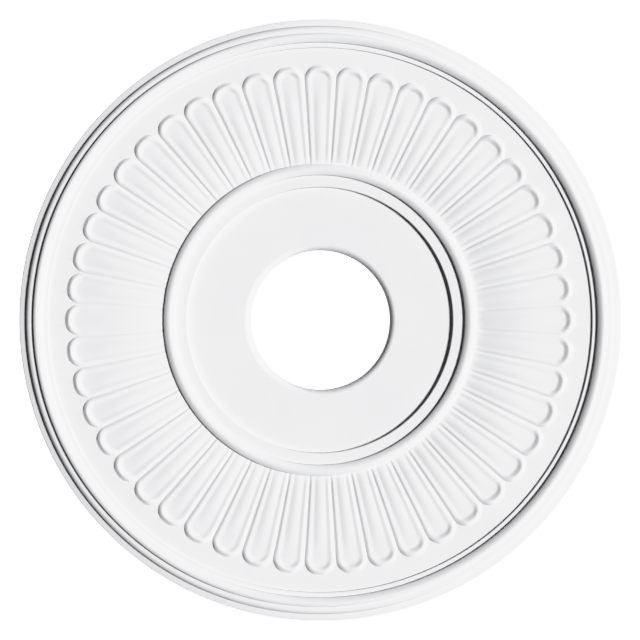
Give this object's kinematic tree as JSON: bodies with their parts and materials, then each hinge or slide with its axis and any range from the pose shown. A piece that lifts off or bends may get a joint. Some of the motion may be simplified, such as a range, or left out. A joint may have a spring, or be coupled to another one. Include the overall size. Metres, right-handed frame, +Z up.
{
  "type": "ceiling rose",
  "caption": "Round moulded ceiling rose with a stepped rim, a ring of raised round-ended tongues, a bead, a sunk canopy seat and a central wiring hole.",
  "frame": {"origin": "centre of the flat back, in the plane of the ceiling, on the axis of the hole", "axes": "+Z points up into the ceiling along the rose's axis, and the carved face looks down, towards -Z; +X and +Y lie in the ceiling, each along the middle of a tongue"},
  "size_m": [0.4, 0.4, 0.0162],
  "materials": {
    "primed_foam": "white primer, satin to matt, on hard polyurethane foam as it leaves the mould"
  },
  "bodies": {
    "root": {"ceiling_rose": "primed_foam"}
  },
  "joints": []
}
